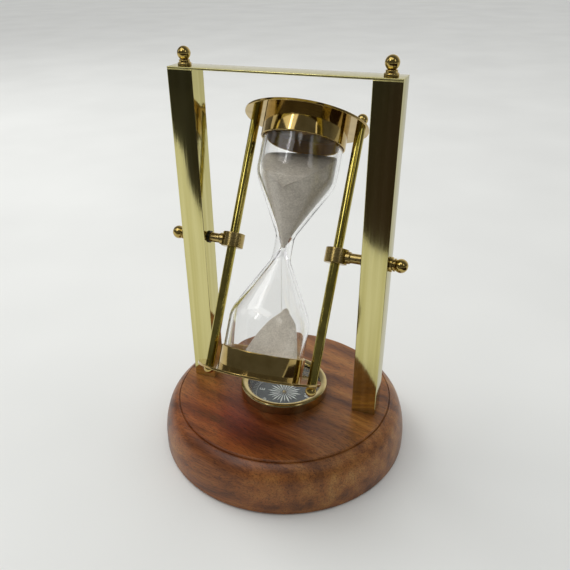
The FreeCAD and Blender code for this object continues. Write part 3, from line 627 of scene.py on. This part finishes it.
def fanned(angles, outline):
    # The same (radius, side) outline turned to each angle about the centre.
    c, s = np.cos(angles)[:, None], np.sin(angles)[:, None]
    r, t = np.array(outline, float).T
    return np.stack([r * c - t * s, r * s + t * c], -1)


inkBase = cardTop - 0.01
markPoints, markFaces = [], []
roseAngles = np.radians(dial["turn"]) + np.arange(dial["rays"]) * 2 * np.pi / dial["rays"]
tickAngles = np.radians(dial["turn"]) + np.arange(dial["ticks"]) * 2 * np.pi / dial["ticks"]


def rayOutline(start, startHalf, widest, tip, widestHalf):
    # a thin kite: from near the centre out to its widest, then to a point
    middle, end = dial["roseRadius"] * widest, dial["roseRadius"] * tip
    return [(start, -startHalf), (middle, -widestHalf), (end, 0), (middle, widestHalf), (start, startHalf)]


markSets = [
    fanned(roseAngles[::2], rayOutline(*dial["longRay"])),
    fanned(roseAngles[1::2], rayOutline(*dial["shortRay"])),
    fanned(tickAngles, [(dial["tickFrom"], -dial["tickHalf"][0]), (dial["tickTo"], -dial["tickHalf"][1]),
                        (dial["tickTo"], dial["tickHalf"][1]), (dial["tickFrom"], dial["tickHalf"][0])]),
]
offset = 0
for marks in markSets:
    points, faces = prisms(marks, inkBase, dial["inkHeight"])
    markPoints.append(points)
    markFaces += [[corner + offset for corner in face] for face in faces]
    offset += len(points)
ringIn, ringOut = dial["ringRadius"], dial["ringRadius"] + dial["ringWidth"]
inkTop = inkBase + dial["inkHeight"]
circle = turnedGrid(np.array([(ringIn, inkBase), (ringOut, inkBase), (ringOut, inkTop), (ringIn, inkTop),
                              (ringIn, inkBase)]), 128)
makePiece("dialRays", [circle], upright, ink, "compass_card", [], sharp=30,
          extraFaces=(np.concatenate(markPoints), markFaces))


def letterMesh(text, turn, radius, height):
    # Text outline as a mesh: sized, stood with its foot toward the centre, laid on the card.
    curve = bpy.data.curves.new("letter" + text, "FONT")
    curve.body = text
    curve.size = height
    curve.extrude = dial["inkHeight"] / 2
    curve.offset = dial["letterWeight"]
    curve.align_x = "CENTER"
    curve.align_y = "CENTER"
    holder = linkedObject("letter" + text, curve)
    bpy.context.view_layer.update()
    mesh = bpy.data.meshes.new_from_object(holder)
    bpy.data.objects.remove(holder)
    mesh.transform(Matrix.Rotation(turn - math.pi / 2, 4, "Z") @ Matrix.Translation((0, radius, 0)))
    return mesh


letters = bmesh.new()
for number, text in enumerate(["N", "NE", "E", "SE", "S", "SW", "W", "NW"]):
    turn = math.radians(dial["turn"] + 90 - number * 45)
    size = dial["letterSize"] * (1.0 if len(text) == 1 else dial["pairSize"])
    lettering = letterMesh(text, turn, dial["letterRadius"], size)
    letters.from_mesh(lettering)
    bpy.data.meshes.remove(lettering)
onCard = Matrix.Scale(metres, 4) @ Matrix.Translation((0, 0, inkBase + dial["inkHeight"] / 2))
bmesh.ops.transform(letters, matrix=onCard, verts=letters.verts)
letterData = bpy.data.meshes.new("dialLetters")
bmesh.ops.remove_doubles(letters, verts=letters.verts, dist=1e-6)
letters.to_mesh(letterData)
letters.free()
letterData.materials.append(ink)
letterPiece = linkedObject("dialLetters", letterData)
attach(letterPiece, "compass_card")

low, high = boxOf("compass_card_cap")
capProfile = np.array([(0, low[2]), (1.3, low[2]), (1.25, low[2] + 0.3), (0.9, low[2] + 0.68),
                       (0.4, high[2] - 0.06), (0, high[2])])
makePiece("dialCap", [turnedGrid(capProfile, 48)], upright, turnedPartBrass, "compass_card",
          ["compass_card_cap"], sharp=50)
print("compass made")


cup = {"wall": 0.8, "depth": 10.3, "radius": 21.35, "innerRound": 0.5}
rod = {"radius": 2.38, "endSupport": 0.3}
rodKnob = {"tailRadius": 2.6, "tailHeight": 1.0, "ballRadius": 2.75, "sink": 0.9}
collar = {"radius": 5.7, "height": 7.4, "edge": 0.35}
plateRadius = boxOf("upper_plate")[1][0]
outer, inner, rimHeight = cup["radius"], cup["radius"] - cup["wall"], plateFace - cup["depth"]
halfWall, cupFloor = cup["wall"] / 2, plateFace - cup["wall"]
bead = ballProfile(halfWall, 0, 0, -180, 10) + np.array([outer - halfWall, rimHeight + halfWall])
cupProfile = np.concatenate([
    [(0, plateFace), (outer, plateFace)], bead,
    rounded([(inner, rimHeight + 1), (inner, cupFloor, cup["innerRound"]), (0, cupFloor)])])
for name, sign in ends.items():
    near, far = sorted([plateFace * sign, (plateFace + plate["thickness"]) * sign])
    outline = rounded([(0, near), (plateRadius, near, plate["edge"]), (plateRadius, far, plate["edge"]),
                       (0, far)])
    makePiece(name + "EndPlate", [turnedGrid(outline, 160)], carriage, spunBrass, "carriage",
              [name + "_plate"], sharp=45)
    madeCup = makePiece(name + "GlassCup", [turnedGrid(cupProfile * np.array([1, sign]), 160)], carriage,
                        spunBrass, "carriage", [name + "_cup"], sharp=45)
    # faces within the inner wall and clear of the plate are the cup's unpolished inside
    madeCup.data.materials.append(cupInsideBrass)
    centres = np.zeros(len(madeCup.data.polygons) * 3)
    madeCup.data.polygons.foreach_get("center", centres)
    local = (centres.reshape(-1, 3) / metres - carriage[1]) @ carriage[0]
    inside = (np.hypot(local[:, 0], local[:, 1]) < inner + 0.1) & (np.abs(local[:, 2]) < plateFace - 0.1)
    madeCup.data.polygons.foreach_set("material_index", inside.astype(np.int32))

rodRadius, rodInner = rod["radius"], plateFace - rod["endSupport"]
rodProfile = np.array([(0, -plateFace), (rodRadius, -plateFace), (rodRadius, -rodInner),
                       (rodRadius, rodInner), (rodRadius, plateFace), (0, plateFace)])
half = collar["height"] / 2
collarOutline = rounded([(rodRadius, -half), (collar["radius"], -half, collar["edge"]),
                         (collar["radius"], half, collar["edge"]), (rodRadius, half), (rodRadius, -half)])
tailTop = rodKnob["tailHeight"]
knobProfile = ballHead([(0, 0), (rodKnob["tailRadius"], 0, 0.15), (rodKnob["tailRadius"], tailTop, 0.25)],
                       rodKnob["ballRadius"], rodKnob["sink"], tailTop)
for name, sign in sides.items():
    onRod = shifted(carriage, (rodOffset * sign, 0, 0))
    makePiece(name + "CarriageRod", [turnedGrid(rodProfile, 64)], onRod, rodBrass, "carriage",
              [name + "_rod"])
    makePiece(name + "RodCollar", [turnedGrid(collarOutline, 96)], onRod, turnedPartBrass, "carriage",
              [name + "_collar"], sharp=45)
    for end, way in ends.items():
        seat = shifted(onRod, (0, 0, (plateFace + plate["thickness"]) * way))
        seat = (seat[0] * np.array([1, way, way]), seat[1])
        makePiece(end + name.capitalize() + "RodKnob", [turnedGrid(knobProfile, 64)], seat, knobBrass,
                  "carriage", [end + "_" + name + "_rod_knob"], sharp=40)

pivotKnob = {"flangeRadius": 3.6, "flangeHeight": 1.5, "waistRadius": 2.7, "waistHeight": 0.5,
             "ringRadius": 3.2, "ringHeight": 0.8, "ballRadius": 3.4, "sink": 1.0}
spacer = {"flangeRadius": 3.0, "flangeLength": 2.4, "radius": 2.45, "bore": 1.65}
flange, flangeTop = pivotKnob["flangeRadius"], pivotKnob["flangeHeight"]
waist, waistTop = pivotKnob["waistRadius"], flangeTop + pivotKnob["waistHeight"]
ring, ringTop = pivotKnob["ringRadius"], waistTop + pivotKnob["ringHeight"]
pivotProfile = ballHead([
    (0, 0), (flange, 0, 0.2), (flange, flangeTop, 0.5), (waist, flangeTop, 0.1), (waist, waistTop, 0.1),
    (ring, waistTop, 0.3), (ring, ringTop, 0.3)], pivotKnob["ballRadius"], pivotKnob["sink"], ringTop)
flange, tube, bore = spacer["flangeRadius"], spacer["radius"], spacer["bore"]
for name, sign in sides.items():
    outward = axesPlace((0, pivot[1], pivot[2]), (sign, 0, 0), (0, 1, 0))
    low, high = boxOf(name + "_pivot_knob")
    seat = min(abs(low[0]), abs(high[0]))
    makePiece(name + "PivotKnob", [turnedGrid(pivotProfile + np.array([0, seat]), 72)], outward, knobBrass,
              "carriage", [name + "_pivot_knob"], sharp=40)
    low, high = boxOf(name + "_spacer")
    near, far = sorted([abs(low[0]), abs(high[0])])
    flangeEnd = near + spacer["flangeLength"]
    outline = rounded([(bore, near), (flange, near, 0.2), (flange, flangeEnd, 0.5), (tube, flangeEnd, 0.2),
                       (tube, far), (bore, far), (bore, near)])
    makePiece(name + "PivotSpacer", [turnedGrid(outline, 64)], outward, turnedPartBrass, "carriage",
              [name + "_spacer"], sharp=40)
    low, high = boxOf(name + "_washer")
    near, far = sorted([abs(low[0]), abs(high[0])])
    radius = high[1]
    outline = rounded([(bore, near), (radius, near, 0.15), (radius, far, 0.15), (bore, far), (bore, near)])
    makePiece(name + "PivotWasher", [turnedGrid(outline, 64)], outward, washerSteel, "carriage",
              [name + "_washer"], sharp=40)
print("carriage made")


glass = {"radius": 20.3, "wall": 1.8, "heel": 3.0, "shoulderRound": 16.0, "coneAngle": 28.8,
         "neckRound": 8.0, "neckRadius": 4.7, "neckHalf": 4.0, "orificeRadius": 1.1, "orificeHalf": 1.0,
         "mouthRadius": 5.0, "padThickness": 1.5}
coneAngle = math.radians(glass["coneAngle"])
flip = np.array([1, -1])
glassEnd = plateFace - cup["wall"] - glass["padThickness"]
flareRadius = glass["neckRadius"] + glass["neckRound"] * (1 - math.cos(coneAngle))
flareRise = glass["neckHalf"] + glass["neckRound"] * math.sin(coneAngle)
shoulderRadius = glass["radius"] - glass["shoulderRound"] * (1 - math.cos(coneAngle))
shoulderRise = flareRise + (shoulderRadius - flareRadius) / math.tan(coneAngle)
straightRise = shoulderRise + glass["shoulderRound"] * math.sin(coneAngle)


def shoulderWall(inset, steps=14):
    # The bend from cone to straight wall: an arc of the shoulder radius less the inset.
    angle = np.linspace(coneAngle, 0, steps)
    bend = glass["shoulderRound"] - inset
    middle = glass["radius"] - glass["shoulderRound"]
    return np.column_stack([middle + bend * np.cos(angle), straightRise - bend * np.sin(angle)])


def outerBulb():
    # From the neck's middle out to the closed end: flare, cone, shoulder, wall and heel.
    angle = np.linspace(0, coneAngle, 10)
    flare = np.column_stack([glass["neckRadius"] + glass["neckRound"] * (1 - np.cos(angle)),
                             glass["neckHalf"] + glass["neckRound"] * np.sin(angle)])
    heelAngle = np.linspace(0, np.pi / 2, 10)
    heel = np.column_stack([glass["radius"] - glass["heel"] * (1 - np.cos(heelAngle)),
                            glassEnd - glass["heel"] * (1 - np.sin(heelAngle))])
    return np.concatenate([[(glass["neckRadius"], 0)], flare, shoulderWall(0), heel])


def innerBulb(inset, orifice):
    # From the orifice out to the inner end, everywhere the inset inside the outer wall.
    flare = (flareRadius - inset * math.cos(coneAngle), flareRise + inset * math.sin(coneAngle))
    heelRound = max(glass["heel"] - inset, 0.3)
    heelAngle = np.linspace(0, np.pi / 2, 8)
    top = glassEnd - inset
    wallRadius = glass["radius"] - inset
    heel = np.column_stack([wallRadius - heelRound * (1 - np.cos(heelAngle)),
                            top - heelRound * (1 - np.sin(heelAngle))])
    throat = rounded([(orifice, 0), (orifice, glass["orificeHalf"], 2.5), flare])
    return np.concatenate([throat, shoulderWall(inset), heel])


outer, inner = outerBulb(), innerBulb(glass["wall"], glass["orificeRadius"])
floorHeight = glassEnd - glass["wall"]
glassProfile = np.concatenate([
    [(0, -glassEnd)], (outer * flip)[::-1], outer[1:],
    [(glass["mouthRadius"], glassEnd), (glass["mouthRadius"], floorHeight)],
    inner[::-1], (inner * flip)[1:], [(0, -floorHeight)]])
makePiece("blownVessel", [turnedGrid(glassProfile, 160)], carriage, blownGlass, "carriage",
          ["glass_vessel"], sharp=40)


def sandBody(name, sign, freeHeight, centre, nodeName, rowsIn=46, columns=144):
    # Sand held by one bulb: for each direction round the glass the wall is followed from the neck until
    # it meets the free surface, and the free surface is carried from there to centre.
    inset = glass["wall"] + heaps["wallGap"]
    wallLine = innerBulb(inset, glass["orificeRadius"] - heaps["orificeGap"]) * np.array([1, sign])
    run = np.concatenate([[0], np.cumsum(np.linalg.norm(np.diff(wallLine, axis=0), axis=1))])
    if sign < 0:                       # the lower bulb is filled from its floor
        wallLine = np.concatenate([wallLine, [(0, wallLine[-1, 1])]])
        run = np.append(run, run[-1] + wallLine[-2, 0])
    angle = np.arange(columns) * 2 * np.pi / columns

    def wallAt(distance):
        # the wall line's point at this run along it, one for each direction round the glass
        r, h = np.interp(distance, run, wallLine[:, 0]), np.interp(distance, run, wallLine[:, 1])
        return np.stack([r * np.cos(angle), r * np.sin(angle), h], -1)

    def above(distance):
        # height of that point over the free surface
        world = placed(wallAt(distance), carriage) / metres
        return world[..., 2] - freeHeight(world[..., 0], world[..., 1])

    if sign > 0:
        lowEnd, highEnd = np.full(columns, 0.0), np.full(columns, run[-1])
    else:
        lowEnd, highEnd = np.full(columns, run[-1]), np.full(columns, 0.0)
    for _ in range(40):             # halving: the crossing stays between the two ends
        middle = (lowEnd + highEnd) / 2
        over = above(middle) > 0
        highEnd = np.where(over, middle, highEnd)
        lowEnd = np.where(over, lowEnd, middle)
    crossing = lowEnd
    start = 0.0 if sign > 0 else run[-1]
    share = np.linspace(0, 1, rowsIn)[:, None]
    distance = start + (crossing[None] - start) * share
    wallRows = np.array([wallAt(row) for row in distance])
    edge = placed(wallRows[-1], carriage) / metres
    plan = edge[None, :, :2] * (1 - share[1:, :, None]) + np.array(centre)[None, None] * share[1:, :, None]
    surface = np.concatenate([plan, freeHeight(plan[..., 0], plan[..., 1])[..., None]], -1)
    axes, origin = carriage
    surface = (surface - origin) @ axes
    makePiece(name, [np.concatenate([wallRows, surface])], carriage, sand, "carriage", [nodeName],
              sharp=60)


heaps = {"levelRise": 46.0, "levelLean": 14.0, "craterRise": 31.6, "craterGrade": 0.4, "joinSoftness": 2.6,
         "heapDrop": 33.4, "heapGrade": 0.78, "heapShift": 2.7, "heapForward": 1.0, "tipRound": 0.8,
         "tipDrop": 0.3, "wallGap": 0.06, "orificeGap": 0.1, "streamRadii": (0.07, 0.06, 0.05)}


def craterHeight(x, y):
    # The lower of a slope and a cone that opens upward over the neck, with a soft join.
    slope = pivot[2] + heaps["levelRise"] - y * math.tan(math.radians(heaps["levelLean"]))
    crater = pivot[2] + heaps["craterRise"] + heaps["craterGrade"] * np.hypot(x, y)
    soft = heaps["joinSoftness"]
    return -soft * np.logaddexp(-slope / soft, -crater / soft)


def heapHeight(x, y):
    # A cone that falls by its grade with the distance from its tip, the tip rounded off.
    away = np.hypot(x - heaps["heapShift"], y + heaps["heapForward"])
    fall = np.sqrt(away ** 2 + heaps["tipRound"]) - heaps["tipDrop"]
    return pivot[2] - heaps["heapDrop"] - heaps["heapGrade"] * fall


sandBody("upperSandBody", 1, craterHeight, (0, 0), "upper_sand")
sandBody("lowerSandHeap", -1, heapHeight, (heaps["heapShift"], -heaps["heapForward"]), "lower_sand")
low, high = boxOf("sand_stream")
bottomRadius, middleRadius, topRadius = heaps["streamRadii"]
streamProfile = np.array([(0, low[2]), (bottomRadius, low[2]), (middleRadius, (low[2] + high[2]) / 2),
                          (topRadius, high[2]), (0, high[2])])
streamPlace = axesPlace(((low[0] + high[0]) / 2, (low[1] + high[1]) / 2, 0), (0, 0, 1))
makePiece("fallingStream", [turnedGrid(streamProfile, 20)], streamPlace, sand, "carriage",
          ["sand_stream"])
print("glass and sand made")


studio = {"floorHalf": 7.0, "frontLight": 0.14, "topLight": 0.95, "roomDim": 0.11, "roomMiddle": 0.28,
          "roomBright": 0.85, "backdrop": (0.72, 0.73, 0.73, 1), "lampAim": 0.13}


def floorPaper():
    # Smooth matt backdrop board: plain pale grey, with a faint change of tone every 170 mm.
    material, tree, shader = newMaterial("paleBackdropBoard", Roughness=0.8, Specular_IOR_Level=0.15)
    at = addNode(tree, "ShaderNodeTexCoord").outputs["Object"]
    cloud = addNode(tree, "ShaderNodeTexNoise", {"Vector": at, "Scale": 6.0, "Detail": 2.0})
    tone = addNode(tree, "ShaderNodeValToRGB", {0: cloud}, [(0.3, "#e4e5e2"), (0.7, "#eaebe8")])
    feed(shader, {"Base Color": tone})
    return material


def flatSheet(name, corners, material):
    # one flat face through its corners, in metres, that is not part of the object
    mesh = bpy.data.meshes.new(name)
    mesh.from_pydata(corners, [], [list(range(len(corners)))])
    mesh.materials.append(material)
    sheet = linkedObject(name, mesh)
    return sheet


def flagCloth():
    # Dark stage cloth: olive black on the left, red brown from the middle on, for the brass to mirror.
    material, tree, shader = newMaterial("darkFlagCloth", Roughness=0.9)
    at = addNode(tree, "ShaderNodeTexCoord").outputs["Object"]
    across = addNode(tree, "ShaderNodeSeparateXYZ", {0: at}).outputs["X"]
    place = addNode(tree, "ShaderNodeMath", {0: across, 1: 2.0, 2: 0.75}, operation="MULTIPLY_ADD")
    tone = addNode(tree, "ShaderNodeValToRGB", {0: place}, [(0.1, "#201d14"), (0.75, "#2e1a0e")])
    feed(shader, {"Base Color": tone})
    return material


half = studio["floorHalf"]
floorCorners = [(-half, -half, 0), (half, -half, 0), (half, half, 0), (-half, half, 0)]
flatSheet("studioFloor", floorCorners, floorPaper())
# seen only by mirrored rays: a dark cloth on the floor in front, so that the brass has dark parts
flagOutline = [(-1.4, -1.8), (1.4, -1.8), (1.4, 0.08), (0.17, 0.08), (0.15, -0.20), (0.10, -0.262),
               (0.06, -0.268), (-0.03, -0.274), (-0.19, -0.33), (-0.27, -0.385), (-0.355, -0.49),
               (-1.4, -0.80)]
flag = flatSheet("darkFlag", [(x, y, 0.002) for x, y in flagOutline], flagCloth())
flag.visible_camera = flag.visible_diffuse = flag.visible_shadow = flag.visible_transmission = False

world = bpy.data.worlds.new("studioWorld")
bpy.context.scene.world = world
world.use_nodes = True
world.node_tree.nodes.clear()
skyTree = world.node_tree
toward = addNode(skyTree, "ShaderNodeTexCoord").outputs["Generated"]
# plain light that is strongest from overhead and behind, and a dim room in front for mirrored rays
overhead = addNode(skyTree, "ShaderNodeVectorMath", {0: toward, 1: (0.0, 0.45, 0.9)},
                   operation="DOT_PRODUCT").outputs["Value"]
softLight = addNode(skyTree, "ShaderNodeValToRGB", {0: overhead},
                    [(0.0, studio["frontLight"]), (0.85, studio["topLight"])])
behind = addNode(skyTree, "ShaderNodeSeparateXYZ", {0: toward}).outputs["Y"]
mirrored = addNode(skyTree, "ShaderNodeValToRGB", {0: behind},
                   [(0.05, studio["roomDim"]), (0.60, studio["roomMiddle"]), (0.84, studio["roomBright"])])
paths = addNode(skyTree, "ShaderNodeLightPath")
lit = addNode(skyTree, "ShaderNodeMix",
              {"Factor": paths.outputs["Is Glossy Ray"], 6: softLight, 7: mirrored}, data_type="RGBA")
seen = addNode(skyTree, "ShaderNodeMix", {"Factor": paths.outputs["Is Camera Ray"], 6: lit.outputs[2],
                                          7: studio["backdrop"]}, data_type="RGBA")
sky = addNode(skyTree, "ShaderNodeBackground", {"Color": seen.outputs[2], "Strength": 1.0})
addNode(skyTree, "ShaderNodeOutputWorld", {"Surface": sky})


def softbox(name, location, aim, width, height, power):
    # a rectangular lamp at a place, turned to face another
    data = bpy.data.lights.new(name, "AREA")
    data.shape = "RECTANGLE"
    data.size, data.size_y = width, height
    data.energy = power
    lamp = linkedObject(name, data)
    direction = np.array(aim, float) - np.array(location, float)
    lamp.matrix_world = Matrix.Translation(location) @ Matrix(
        np.column_stack([*lookAxes(direction)]).tolist()).to_4x4()
    return lamp


def lookAxes(direction):
    # right, up and back of something that looks along a direction
    back = -direction / np.linalg.norm(direction)
    right = np.cross((0, 0, 1), back)
    right = right / np.linalg.norm(right)
    return right, np.cross(back, right), back


# windows and strips seen only by mirrored rays, each one metre away, then two soft lamps that only light
mirrorLamps = [
    # degrees round from the front, degrees up, width and height in metres, watts
    ("wideWindow", -42, 46, 0.80, 0.36, 1.05),
    ("brightStrip", -29, 45, 0.07, 0.40, 0.5),
    ("leftWindow", -82, 24, 0.34, 0.34, 0.24),
    ("rightWindow", 62, 36, 0.22, 0.40, 0.35),
    ("ceilingSheet", -25, 68, 1.0, 0.40, 2.0),
]
for name, bearing, rise, width, height, power in mirrorLamps:
    a, e = math.radians(bearing), math.radians(rise)
    place = (math.sin(a) * math.cos(e), -math.cos(a) * math.cos(e), math.sin(e) + studio["lampAim"])
    lamp = softbox(name, place, (0, 0, studio["lampAim"]), width, height, power)
    lamp.visible_diffuse = False
    lamp.visible_camera = False
keyLamp = softbox("keySoftbox", (-0.9, 0.25, 1.3), (0, 0, 0.05), 0.9, 0.9, 9)
keyLamp.visible_glossy = False
fillLamp = softbox("fillSoftbox", (-0.55, -0.85, 0.22), (0, 0, 0.12), 0.5, 0.4, 0.5)
fillLamp.visible_glossy = False
fillLamp.visible_camera = False

# the camera: place in metres and turns in radians
view = {"location": (0.103790, -0.264635, 0.243957), "yaw": -0.391718, "pitch": 0.540673, "roll": -0.016003}
lens = {"lens": 39.064, "sensor_width": 36.0, "shift_x": 0.01887, "shift_y": 0.06144, "clip_start": 0.01,
        "clip_end": 20}
cameraData = bpy.data.cameras.new("viewCamera")
for key, value in lens.items():
    setattr(cameraData, key, value)
yaw, pitch, roll = view["yaw"], view["pitch"], view["roll"]
forward = np.array([math.sin(yaw) * math.cos(pitch), math.cos(yaw) * math.cos(pitch), -math.sin(pitch)])
level = np.array([math.cos(yaw), -math.sin(yaw), 0])
above = np.cross(level, forward)
right = level * math.cos(roll) + above * math.sin(roll)
up = above * math.cos(roll) - level * math.sin(roll)
cameraObject = linkedObject("viewCamera", cameraData)
turned = Matrix(np.column_stack([right, up, -forward]).tolist()).to_4x4()
cameraObject.matrix_world = Matrix.Translation(view["location"]) @ turned
bpy.context.scene.camera = cameraObject
bpy.context.scene.view_settings.view_transform = "Standard"
print("studio and camera made")
